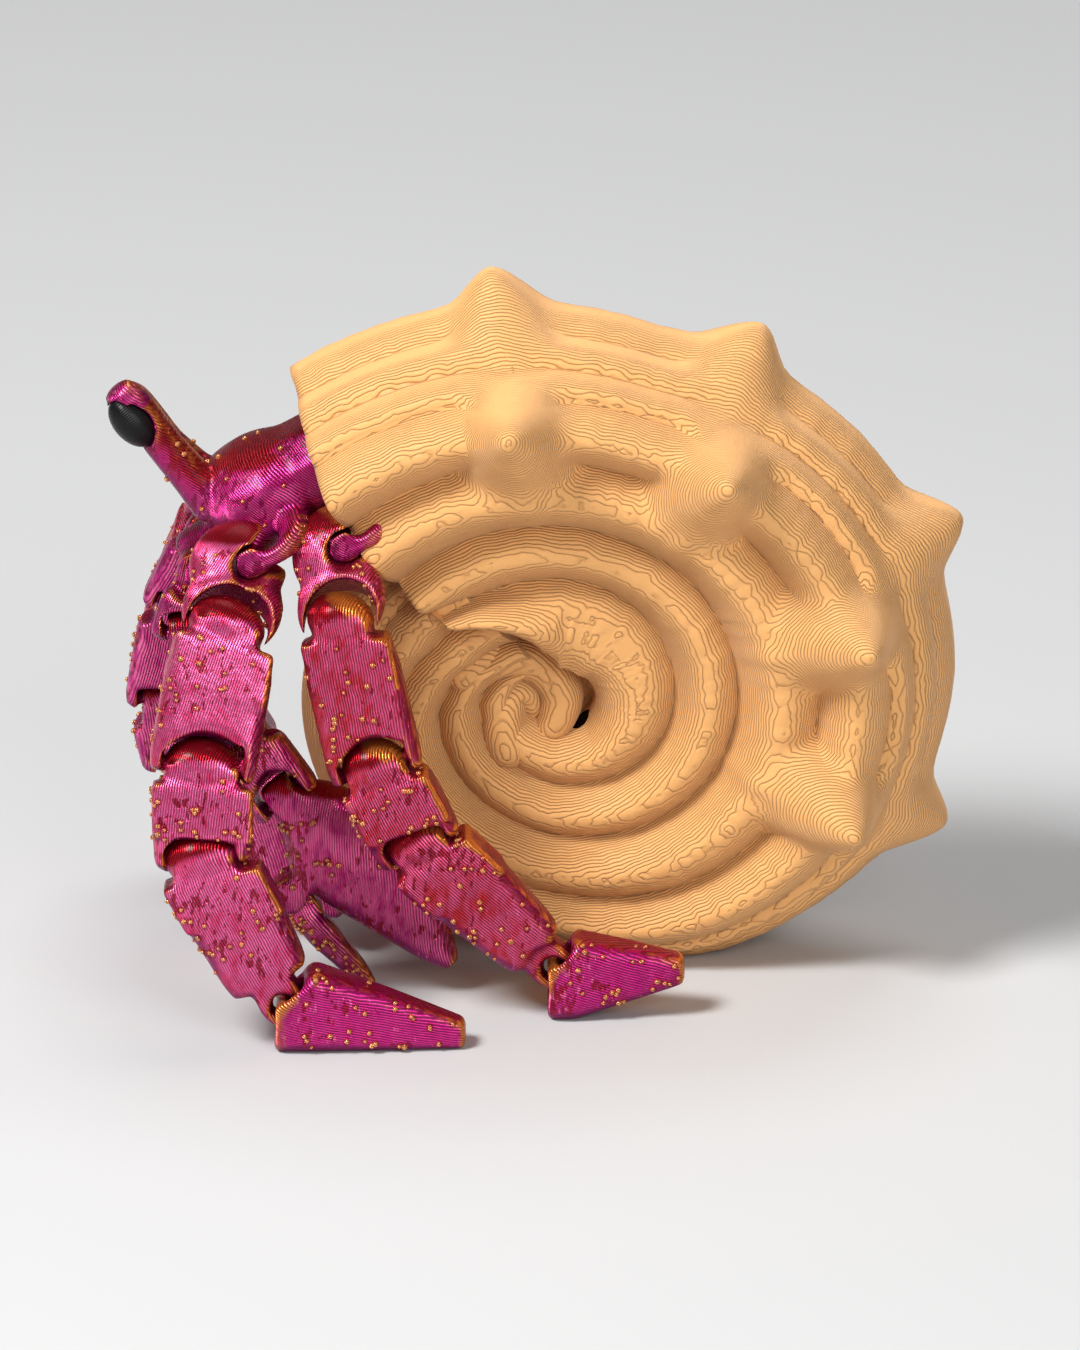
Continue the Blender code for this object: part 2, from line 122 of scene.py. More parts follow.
# angle of each spine in the shoulder row and of its fellow on the rim
SPINE_ANGLES = ((98.0, 98.5), (58.7, 62.0), (16.8, 23.0), (-20.5, -23.6))
# foot and tip as radius and place along the axis, width of the foot, roundness of the tip
SHOULDER_SPINE = ((24.6, -6.0), (27.8, -13.4), 4.9, 1.5)
RIM_SPINE = ((30.5, 0.2), (37.1, 0.0), 4.9, 1.5)
# how far a spine's foot spreads, how softly it leaves the surface, and how it is drawn up
SPINE_SPREAD = 1.45
SPINE_BLEND = 1.1
SPINE_DRAW = 1.35
SPINE_FADE = 0.35
SPINE_BELOW = 4.5
SPINE_REACH = 1.6
# fine ribs across the ridges: height, number to a turn, first radius, and how soon they are full
RIB_HEIGHT, RIB_COUNT, RIB_RADIUS, RIB_FADE = 0.13, 46.0, 14.0, 8.0
# the swelling under each shoulder spine: height, width in degrees, radius of its middle, and width
SWELL_HEIGHT, SWELL_ANGLE, SWELL_RADIUS, SWELL_WIDTH = 0.55, 5.5, 21.0, 5.0
# the uneven surface: height, length in degrees, width, and the place it is read at
WAVE_HEIGHT, WAVE_ANGLE, WAVE_WIDTH, WAVE_PLACE = 0.14, 5.5, 3.2, 0.7
# angle, radius and place along the axis of the inner edge of the last turn
INNER_EDGE = (
    (-231.5, 4.6, -2.0), (-60.0, 4.6, -2.0), (0.0, 3.1, -3.0), (45.0, 2.3, -4.2), (85.0, 2.4, -4.6),
    (103.0, 4.1, -4.8), (116.0, 6.4, -4.2), (128.5, 8.6, -3.0),
)
# out to where the inner edge draws the section along
EDGE_END = 7.4
EDGE_WIDTH = 5.0
# the two ridges that wind into the middle: place of the centre line and its radius
STRANDS = (
    (
        (-7.2, -2.3, 25.5, 2.3), (-6.0, -2.1, 27.6, 2.35), (-3.9, -1.9, 28.7, 2.3), (-1.1, -1.5, 28.5, 2.2),
        (0.8, -1.2, 27.1, 2.1), (1.9, -1.1, 25.1, 2.0), (1.8, -1.1, 23.3, 1.85), (1.2, -1.0, 21.8, 1.6),
        (0.2, -0.2, 20.3, 1.25), (-0.8, 0.9, 19.6, 0.8),
    ),
    (
        (-2.0, -1.7, 18.4, 1.9), (-3.0, -1.8, 21.0, 1.95), (-3.0, -1.7, 23.4, 1.9), (-2.2, -1.5, 25.1, 1.6),
        (-1.1, -1.2, 24.9, 1.35), (-0.6, -0.7, 23.6, 1.2), (-0.8, 0.1, 22.1, 0.9),
    ),
)
STRAND_SIDES = 40
STRAND_STEPS = 9
# how blunt a strand's end is, and over how many rings it is rounded off
STRAND_BLUNT, STRAND_ROUND = 0.3, 6.0
# how far from a groove its painted shade reaches
GROOVE_SHADE_REACH = 0.7
SHELL_MOST_FACES = 100000
# a near-black ball put in as painted shade in the opening between the turns: place, radii and turn about the
# coil axis, in degrees
OPENING_SHADE = (Vector((3.75, -1.5, 22.3)), (1.35, 0.5, 0.55), -52.0)

# Head and eyes: foot and top of the near stalk, the way the eye looks, and its radii
STALK_FOOT = Vector((-27.88, -2.7, 42.6))
STALK_TOP = Vector((-35.78, -2.9, 52.6))
EYE_FACING = Vector((-0.62, -0.62, -0.48)).normalized()
EYE_RADII = (1.6, 1.8, 2.55)
# where the far stalk starts, in metres, and how far it stands from its solid
FAR_STALK_X, FAR_STALK_Y = -0.026, 0.0005
FAR_STALK_NUDGE = Vector((-0.8, 0.0, -0.45))
# the bars that hold the legs: steps from the joint, outwards counted as plus, and radius
BRACKET = (
    (-0.2, -1.0, -0.2, 0.75), (0.1, 1.3, 0.0, 0.8), (1.6, 2.0, 0.5, 0.85), (3.0, 1.5, 1.3, 1.05),
    (3.9, -0.4, 2.1, 1.5), (3.4, -3.2, 2.6, 2.1),
)
# the head is a little coarser and smoother than the limbs
HEAD_COARSENESS = 1.1
HEAD_PASSES = 2
HEAD_LAYERS = Vector((0.5, -0.2, 0.84)).normalized()
# beads on the head: how many, how likely on a face, and how far back and between which heights, in metres
HEAD_BEADS, HEAD_BEAD_CHANCE = 26, 0.02
HEAD_BEAD_BACK, HEAD_BEAD_HEIGHTS = -0.022, (0.039, 0.049)
HEAD_SEED = 12

# Hinged pieces, in millimetres. Radii and half sizes go along the hinge, out of the front and along the limb;
# the first is mostly given as what it falls short of half the width.
HALF_WIDTHS = (("leg_1", 4.4), ("leg_2", 3.9), ("claw", 3.1))
# how far above the hinge a piece's own block starts, and how far below it the arms around it end
DOME_CUT = 0.2
ARM_END = 1.3
# half sizes of the blocks that cut the ends off
COXA_BLOCK, PIECE_BLOCK = 6.0, 5.0
# the uppermost piece of a leg: the crest over its bar and the fork over the next piece
COXA_LEAN = Vector((-0.8, 0.0, 0.0))
CREST_WAY, CREST_SHORT, CREST_RADII = 0.9, 0.1, (2.5, 4.3)
FORK_WAY, FORK_RADII = 1.5, (2.6, 4.5)
# the arch in the fork, cut at two places below the hinge
COXA_ARCH_STEPS = (0.0, 2.0)
COXA_ARCH_SHORT, COXA_ARCH_RADII = 0.75, (9.0, 3.2)
# the hole for the bar, and the opening behind it
BAR_HOLE_RADIUS, BAR_HOLE_HALF = 1.5, 8.0
BAR_OPENING, BAR_OPENING_RADII = Vector((3.3, 0.0, 0.8)), (3.3, 8.0, 1.9)
# the dome at the upper end, the shoulders below it, the arch at the lower end and the web behind that
DOME_SHORT, DOME_RADII = 0.95, (2.55, 2.6)
SHOULDER_WAY, SHOULDER_FRONT, SHOULDER_HALVES = 3.9, 0.25, (2.2, 2.4)
ARCH_FRONT, ARCH_DEPTH, ARCH_LIFT = 2.9, 3.0, 0.55
WEB_BACK, WEB_WAY, WEB_SHORT, WEB_RADII = 3.3, 1.2, 0.6, (0.4, 2.6)
HOOK_MAJOR, HOOK_MINOR = 1.5, 0.75
# the full middle of a claw's palm: the way it points, its upper side, its place along both, and its radii
PALM_ALONG, PALM_UPPER = Vector((0.7, 0.0, -0.714)), Vector((0.714, 0.0, 0.7))
PALM_PLACE = (7.0, 0.6)
PALM_RADII = (7.6, 3.0, 4.4)
PALM_PASSES = 60
# how the edges of a piece are told from its flats: passes of smoothing, and what counts as an edge
EDGE_PASSES = 8
EDGE_SCALE = 0.2
# how the layers of a limb lie: share from side to side, and share across the limb
LAYERS_SIDE, LAYERS_ACROSS = 0.42, 0.9
# beads: how many, between which shares of a piece's length, size of their clusters, how likely on a face
# that looks nowhere in particular, on the near legs and elsewhere, and the first seed
COXA_BEADS, PIECE_BEADS = 14, 34
BEAD_ENDS = (0.1, 0.9)
BEAD_CLUSTER = 2.2
BEAD_NEAR, BEAD_FAR = 0.15, -0.2
BEAD_SEED = 40
# reach of the painted shade ring round a bead, smallest size of a bead, and how far it stands out, in radii
BEAD_SHADE_REACH, BEAD_SMALLEST, BEAD_RISE = 2.4, 0.55, 0.15

# Stage, in metres: name, place, size and power of each light, and what the lights and the camera look at
LIGHTS = (
    ("key", (-0.38, -0.30, 0.60), 0.22, 6.9),
    ("fill", (0.30, -0.60, 0.35), 0.4, 2.1),
    ("top", (0.10, 0.30, 0.70), 0.4, 2.0),
)
LIGHTS_AIM = Vector((0.0, 0.0, 0.025))
SKY, SKY_STRENGTH = (0.95, 0.97, 1.0, 1.0), 0.16
FLOOR_SIZE = 6.0
CAMERA_AIM = Vector((0.00012, 0.0, 0.0261))
SENSOR = 36.0

LIMBS = ("leg_1_left", "leg_1_right", "leg_2_left", "leg_2_right")
CLAWS = ("claw_left", "claw_right")
LEG_PIECES = ("coxa", "merus", "carpus", "propodus", "foot")
CLAW_PIECES = ("coxa", "merus", "carpus", "palm", "finger")


# Sizes and colours


def colour(name, default, description):
    return bpy.props.FloatVectorProperty(
        name=name, description=description, default=default, subtype="COLOR", size=3, min=0.0, max=1.0
    )


def length(name, default, description):
    return bpy.props.FloatProperty(
        name=name, description=description, default=default, min=0.0, unit="LENGTH", precision=5
    )


class ShellLooks(bpy.types.PropertyGroup):
    """Sizes and colours of the coiled shell."""

    layer: length("Layer Height", 0.0002, "Height of one printed layer")
    ring_step: bpy.props.FloatProperty(
        name="Ring Step", description="Turn between two rings of the coil", default=math.radians(1.25),
        min=math.radians(0.5), subtype="ANGLE",
    )
    point_step: length("Point Step", 0.00055, "Space between two points of the section")
    crown: bpy.props.FloatProperty(
        name="Crown Fullness", description="How round the ridges are between two grooves", default=1.5,
        min=0.2,
    )
    light: colour("Light", (0.87, 0.445, 0.15), "Colour of the crown of a layer")
    # dark is the darker end of the random tone and also the painted shade in the grooves
    dark: colour("Dark", (0.52, 0.22, 0.06), "Colour of the groove between two layers")


class CrabLooks(bpy.types.PropertyGroup):
    """Sizes and colours of the crab."""

    layer: length("Layer Height", 0.0002, "Height of one printed layer")
    voxel: length("Fineness", 0.0002, "Size of the faces on a piece")
    smoothing: bpy.props.IntProperty(
        name="Smoothing", description="Times that each piece's surface is evened out", default=26, min=0,
    )
    bead: length("Bead Radius", 0.00027, "Radius of the largest bead")
    pink: colour("Pink", (0.82, 0.035, 0.15), "Colour of the fronts of the first legs")
    red: colour("Red", (0.70, 0.025, 0.035), "Colour of the fronts of the second legs")
    magenta: colour("Magenta", (0.56, 0.010, 0.21), "Colour of the head and the fronts of the claws")
    # this colour is painted highlight: the silky streaks and glints
    bright: colour("Bright", (1.0, 0.16, 0.42), "Colour of the silky streaks")
    # crimson is also the base of the painted shade in the layer grooves and round the beads
    crimson: colour("Crimson", (0.34, 0.004, 0.014), "Colour of the domes and pits")
    # the purple on faces that look down is painted shade
    purple: colour("Purple", (0.30, 0.006, 0.15), "Colour of the faces that look down and forwards")
    orange: colour("Orange", (0.86, 0.28, 0.045), "Colour of the edges")
    amber: colour("Amber", (1.0, 0.46, 0.16), "Colour of the beads")
    eye: colour("Eye", (0.003, 0.003, 0.0035), "Colour of the eyes")


class StageLooks(bpy.types.PropertyGroup):
    """The floor, lights and camera."""

    elevation: bpy.props.FloatProperty(
        name="Elevation", description="Height of the camera above the horizon", default=math.radians(20.0),
        subtype="ANGLE",
    )
    lens: bpy.props.FloatProperty(
        name="Lens", description="Focal length of the camera in millimetres", default=350.0, min=20.0,
    )
    frame_height: length("Frame Height", 0.1181, "Height that the camera takes in")
    floor: colour("Floor", (0.56, 0.56, 0.56), "Colour of the floor and the backdrop")


# Materials


class Wire:
    """What one socket puts out. An expression on numbers adds its Math nodes."""

    def __init__(self, paint, socket):
        self.paint, self.socket = paint, socket

    def maths(self, operation, *values):
        return self.paint.node("Math", dict(enumerate(values)), operation=operation)

    def __add__(self, other):
        return self.maths("ADD", self, other)

    def __radd__(self, other):
        return self.maths("ADD", other, self)

    def __sub__(self, other):
        return self.maths("SUBTRACT", self, other)

    def __rsub__(self, other):
        return self.maths("SUBTRACT", other, self)

    def __mul__(self, other):
        return self.maths("MULTIPLY", self, other)

    def __rmul__(self, other):
        return self.maths("MULTIPLY", other, self)

    def __pow__(self, other):
        return self.maths("POWER", self, other)

    def __abs__(self):
        return self.maths("ABSOLUTE", self)

    def whole_part_off(self):
        return self.maths("FRACT", self)

    def eased(self, low, high):
        """0 below low and 1 above high, or the other way round where low is the greater."""
        return self.paint.node(
            "MapRange", {"Value": self, "From Min": low, "From Max": high}, interpolation_type="SMOOTHSTEP"
        )


class Paint:
    """One material and the nodes in it."""

    def __init__(self, name):
        self.material = bpy.data.materials.new(name)
        self.material.use_nodes = True
        self.tree = self.material.node_tree
        self.shader = self.tree.nodes["Principled BSDF"]

    def node(self, kind, inputs=None, output=0, **settings):
        """A node with its settings and what feeds its sockets, and one of its outputs."""
        made = self.tree.nodes.new("ShaderNode" + kind)
        for key, value in settings.items():
            setattr(made, key, value)
        for key, value in (inputs or {}).items():
            self.feed(made.inputs[key], value)
        return Wire(self, made.outputs[output])

    def feed(self, socket, value):
        if isinstance(value, Wire):
            self.tree.links.new(value.socket, socket)
        elif socket.type == "RGBA":
            socket.default_value = (*value[:3], 1.0)
        else:
            socket.default_value = value

    def set(self, **inputs):
        for name, value in inputs.items():
            self.feed(self.shader.inputs[name.replace("_", " ")], value)

    def place(self, output="Object"):
        """Where a point lies on the piece in metres, or the way it faces."""
        return self.node("TexCoord", output=output)

    def dot(self, a, b):
        return self.node("VectorMath", {0: a, 1: tuple(b)}, output="Value", operation="DOT_PRODUCT")

    def parts(self, vector):
        made = self.node("SeparateXYZ", {0: vector})
        return [Wire(self, s) for s in made.socket.node.outputs]

    def cloud(self, vector, grain, detail=2.0):
        """Soft noise around nought, with lumps of about the given size in metres."""
        made = self.node("TexNoise", {"Vector": vector, "Scale": 1.0 / grain, "Detail": detail})
        return made * 2.0 - 1.0

    def blend(self, factor, a, b):
        """Colour a turning into colour b."""
        return self.node("Mix", {0: factor, 6: a, 7: b}, output=2, data_type="RGBA")

    def reading(self, name):
        """A number kept with each vertex."""
        return self.node("Attribute", output="Fac", attribute_name=name)

    def bump(self, height, distance):
        return self.node("Bump", {"Height": height, "Distance": distance})


def layer_profile(height, flatness):
    """The rounded back of each layer, from 0 in the groove to 1: flatter where the layers lie flat."""
    across = abs(height.whole_part_off() * 2.0 - 1.0)
    return 1.0 - across ** flatness


def shell_finish(looks):
    """Matt tan in fine layers across the coil axis, with painted shade in the grooves between layers and
    between the ridges.
    """
    paint = Paint("Shell Print")
    place, normal = paint.place(), paint.place("Normal")
    offset = -COIL_AXIS.dot(COIL_CENTRE) * MM / looks.layer
    height = paint.dot(place, COIL_AXIS / looks.layer) + offset
    height = height + paint.cloud(place, 0.003) * 1.5 + paint.cloud(place, 0.0009) * 0.2
    facing = abs(paint.dot(normal, COIL_AXIS))
    profile = layer_profile(height, 2.0 + 4.0 * facing ** 5.0)
    strength = 0.3 + 0.7 * facing.eased(0.1, 0.5)
    groove = (1.0 - profile) * strength
    tone = paint.cloud(place, 0.006, 3.0) * 0.5 + paint.cloud(place, 0.0005, 1.0) * 0.25
    base = paint.blend((tone * 0.22 + 0.12).eased(0.0, 1.0), looks.light, looks.dark)
    # painted shade: the grooves between the layers are darkened towards the dark colour
    base = paint.blend(groove * (0.8 - 0.35 * facing.eased(0.8, 1.0)), base, looks.dark)
    # painted shade: a darker, more saturated line in the grooves between the ridges
    ridge_groove_shade = (paint.reading("hollow") + paint.cloud(place, 0.0008, 2.0) * 0.25).eased(0.45, 1.0)
    base = paint.blend(ridge_groove_shade * 0.4, base, [c * k for c, k in zip(looks.dark, (0.72, 0.62, 0.5))])
    relief = paint.bump(profile * strength + paint.cloud(place, 0.0003, 2.0) * 0.12, 0.00011)
    paint.set(Base_Color=base, Roughness=0.52 + groove * 0.2, Normal=relief)
    paint.set(Specular_IOR_Level=0.4, Sheen_Weight=0.12, Sheen_Roughness=0.5)
    return paint.material


def silk_finish(name, looks, front, shine, spread=0.0):
    """Silk that turns from its front colour through purple and crimson to gold with the way it faces. Part of
    this is painted light: a painted highlight in streaks and glints, and painted shade on faces that look
    down, on faces that look to +x, in creases, in the layer grooves and round the beads.

    shine is the share of painted highlight streaks. With some spread there are more pits, and they are
    darker.
    """
    paint = Paint(name)
    place, normal = paint.place(), paint.place("Normal")
    x, y, z = paint.parts(normal)
    bead, bead_shade, edge = [paint.reading(n) for n in ("bead", "bead_shade", "edge")]
    height = paint.reading("layers") + paint.cloud(place, 0.0014) * 0.5
    profile = layer_profile(height, 2.2)
    drawn = paint.node("Mapping", {"Vector": place, "Scale": (1.0, 1.0, 0.42)})
    streak = paint.cloud(drawn, 0.0008, 3.0)
    flake = paint.cloud(drawn, 0.0005, 3.0)
    broad = paint.cloud(place, 0.005, 2.0)
    # deep, a darker crimson-purple, is painted shade on the flanks and in creases, and the colour of the
    # darker pits
    deep = [(c + p) * 0.4 for c, p in zip(looks.crimson, looks.purple)]
    # painted highlight: silky streaks, more of them on faces that look up and on front and back faces
    base = paint.blend(
        (streak + broad * 0.4 + z * 0.3 + abs(y) * 0.8).eased(0.2, 1.0) * shine, front, looks.bright
    )
    # painted shade: faces that look down turn to the darker purple
    base = paint.blend((z * -1.3 - x * 0.2 + broad * 0.5 + streak * 0.2).eased(0.2, 0.75), base, looks.purple)
    # painted shade: faces that look to +x, away from the key light, darken to deep
    base = paint.blend((x + broad * 0.3).eased(0.3, 0.75) * 0.85, base, deep)
    pits = (flake + broad * 0.8 - x * 0.1 + spread).eased(0.24, 0.33)
    base = paint.blend(pits * 0.85, base, deep if spread else looks.crimson)
    # painted glints in the highlight colour
    painted_glint = (paint.cloud(drawn, 0.0004, 2.0) + broad * 0.5).eased(0.3, 0.42)
    base = paint.blend(painted_glint * 0.7, base, looks.bright)
    red = (paint.reading("dome") + z.eased(0.45, 0.95) * 0.6 + streak * 0.3).eased(0.3, 0.75)
    base = paint.blend(red, base, looks.crimson)
    gold = (paint.reading("gold") + edge * (0.55 + x * 0.5 + z * 0.2) + streak * 0.35).eased(0.4, 0.85)
    base = paint.blend(gold * 0.9, base, looks.orange)
    # painted shade: concave creases darken to deep
    base = paint.blend((edge * -1.0).eased(0.2, 0.9) * 0.7, base, deep)
    # painted shade: a darker crimson ring round each bead, where it meets the surface
    base = paint.blend(bead_shade.eased(0.3, 0.65) * 0.6, base, looks.crimson)
    base = paint.blend(bead.eased(0.2, 0.8) * 0.9, base, looks.amber)
    # painted shade: the grooves between the layers darken towards a deep crimson
    line = (1.0 - profile) * 0.65
    base = paint.blend(line, base, [c * 0.35 for c in looks.crimson])
    relief = paint.bump(profile + paint.cloud(place, 0.0004) * 0.2 - pits * 0.6, 0.00009)
    paint.set(Base_Color=base, Roughness=0.27 + 0.25 * line, Normal=relief)
    paint.set(Metallic=0.8, Specular_IOR_Level=0.3, Coat_Weight=0.12, Coat_Roughness=0.2)
    return paint.material


def eye_finish(looks):
    """Black in fine layers along the stalk, with a slight gloss."""
    paint = Paint("Black Eye")
    place = paint.place()
    along = (STALK_TOP - STALK_FOOT).normalized()
    profile = layer_profile(paint.dot(place, along / looks.layer), 2.0)
    relief = paint.bump(profile + paint.cloud(place, 0.0006) * 0.3, 0.00004)
    paint.set(Base_Color=looks.eye, Roughness=0.33 + (1.0 - profile) * 0.2, Normal=relief)
    paint.set(Coat_Weight=0.1, Coat_Roughness=0.2, Specular_IOR_Level=0.2)
    return paint.material


# Mesh helpers


def finished(bm, name, material, body, nodes):
    """Closes a mesh into a piece that rides on a body and stands for its solids."""
    for face in bm.faces:
        face.smooth = True
    mesh = bpy.data.meshes.new(name)
    bm.to_mesh(mesh)
    bm.free()
    piece = bpy.data.objects.new(name, mesh)
    bpy.context.scene.collection.objects.link(piece)
    mesh.materials.append(material)
    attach(piece, body)
    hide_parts(*nodes)


def growth_at(angle):
    """Growth of the inner ridges and of the rim at an angle, in degrees, on any turn."""
    turns = 0
    while angle < GROWTH[0][0]:
        angle += 360.0
        turns += 1
    for (a, in_a, out_a), (b, in_b, out_b) in zip(GROWTH, GROWTH[1:]):
        if angle <= b or b == GROWTH[-1][0]:
            share = (angle - a) / (b - a)
            return [(p + (q - p) * share) / TURN_RATIO**turns for p, q in ((in_a, in_b), (out_a, out_b))]


def coil_point(angle, radius, axial):
    """A point of the coil, in millimetres, from its turn in degrees, radius and place along the axis."""
    inner, outer = growth_at(angle)
    share = min(1.0, max(0.0, (radius - INNER_RADIUS) / (RIM_RADIUS - INNER_RADIUS)))
    growth = inner + (outer - inner) * share
    turn = math.radians(angle)
    local = Vector((radius * growth * math.cos(turn), axial * outer, radius * growth * math.sin(turn)))
    return COIL_CENTRE + COIL_TIP @ local


def section_curve(looks, first_radius):
    """Points round the section: full ridges that meet in sharp grooves, and how near each is to a groove, for
    the painted shade there.
    """
    knots = [(Vector((r, a)), crown) for r, a, crown in SECTION]
    knots[0] = (Vector((first_radius, SECTION[0][1])), 0)
    knots[-1] = (Vector((first_radius, SECTION[-1][1])), 0)
    count = len(knots)
    slopes = [
        (knots[(i + 1) % count][0] - knots[i - 1][0]) * 0.5 * looks.crown * crown
        for i, (_, crown) in enumerate(knots)
    ]
    curve, hollows = [], []
    for i, (start, crown) in enumerate(knots):
        end, next_crown = knots[(i + 1) % count]
        steps = max(2, round((end - start).length * MM / looks.point_step))
        for k in range(steps):
            t = k / steps
            gap = min((1 - crown) * t + crown, (1 - next_crown) * (1 - t) + next_crown) * (end - start).length
            hollows.append(max(0.0, 1.0 - gap / GROOVE_SHADE_REACH) if not (crown and next_crown) else 0.0)
            curve.append(
                start * (2 * t**3 - 3 * t**2 + 1) + slopes[i] * (t**3 - 2 * t**2 + t)
                + end * (3 * t**2 - 2 * t**3) + slopes[(i + 1) % count] * (t**3 - t**2)
            )
    return curve, hollows


def inner_edge(angle):
    """Radius and place along the axis of the section's inner end."""
    for (a, *low), (b, *high) in zip(INNER_EDGE, INNER_EDGE[1:]):
        if angle <= b or b == INNER_EDGE[-1][0]:
            share = max(0.0, (angle - a) / (b - a))
            return [p + (q - p) * share for p, q in zip(low, high)]


def wrap(bm, curve, angles, at, hollows=None):
    """A section spun through the rings, with each vertex then put where the coil has it."""
    layer = bm.verts.layers.float.get("hollow") or bm.verts.layers.float.new("hollow")
    first = [bm.verts.new((radius, axial, 0.0)) for radius, axial in curve]
    edges = [bm.edges.new((a, b)) for a, b in zip(first, first[1:] + first[:1])]
    known = len(bm.verts) - len(first)
    bmesh.ops.spin(
        bm, geom=first + edges, cent=(0, 0, 0), axis=(0, 1, 0), dvec=(0, 0.01, 0),
        angle=math.radians(1.0), steps=len(angles) - 1, use_merge=False,
    )
    bm.verts.ensure_lookup_table()
    for i, vert in enumerate(bm.verts[known:]):
        vert.co = at(angles[i // len(curve)], i % len(curve))
        vert[layer] = hollows[i % len(curve)] if hollows else 0.0
    bmesh.ops.holes_fill(bm, edges=[e for e in bm.edges if e.is_boundary], sides=0)


def raise_spine(bm, angle, row):
    """Draws the surface up into a spine, with a soft foot."""
    hollow = bm.verts.layers.float["hollow"]
    (foot_radius, foot_axial), (tip_radius, tip_axial), width, tip_round = row
    foot = coil_point(angle, foot_radius, foot_axial)
    run = coil_point(angle, tip_radius, tip_axial) - foot
    length, way = run.length, run.normalized()
    reach = width * SPINE_SPREAD
    for vert in bm.verts:
        offset = vert.co - foot
        high = offset.dot(way)
        if high < -SPINE_BELOW or offset.length > reach * SPINE_REACH:
            continue
        side = offset - way * high
        distance = side.length
        if distance >= reach:
            continue
        pulled = reach * (distance / reach) ** SPINE_DRAW
        cone = length - (length / width) * (math.hypot(pulled, tip_round) - tip_round)
        fade = min(1.0, (1.0 - distance / reach) / SPINE_FADE)
        fade = fade * fade * (3.0 - 2.0 * fade)
        # the painted groove shade fades out where the spine rises
        vert[hollow] *= 1.0 - fade
        top = (high + cone + math.hypot(high - cone, SPINE_BLEND)) / 2.0
        if distance > 1e-6:
            wider = 1.0 + (pulled / distance - 1.0) * fade
            vert.co = foot + side * wider + way * (high + (top - high) * fade)
        else:
            vert.co = foot + way * top


def add_strand(bm, stations):
    """A round ridge along a smooth line through the stations."""
    path = []
    points = [Vector(s) for s in stations]
    padded = [points[0] * 2 - points[1], *points, points[-1] * 2 - points[-2]]
    for a, b, c, d in zip(padded, padded[1:], padded[2:], padded[3:]):
        for k in range(STRAND_STEPS):
            t = k / STRAND_STEPS
            bend, twist = 2 * a - 5 * b + 4 * c - d, 3 * b - a - 3 * c + d
            path.append(((2 * b) + (c - a) * t + bend * t**2 + twist * t**3) / 2)
    path.append(points[-1])
    turns = [math.tau * k / STRAND_SIDES for k in range(STRAND_SIDES)]
    circle = [(math.cos(turn), math.sin(turn)) for turn in turns]

    def at(step, k):
        here = path[step]
        way = (path[min(step + 1, len(path) - 1)] - path[max(step - 1, 0)]).to_3d().normalized()
        side = way.cross(Vector((0, 1, 0))).normalized()
        front = side.cross(way)
        left = min(step, len(path) - 1 - step)
        round_off = math.sqrt(1.0 - (1.0 - min(1.0, (left + STRAND_BLUNT) / STRAND_ROUND)) ** 2)
        a, b = circle[k]
        return here.to_3d() + (side * a + front * b) * here.w * round_off

    wrap(bm, circle, range(len(path)), at)


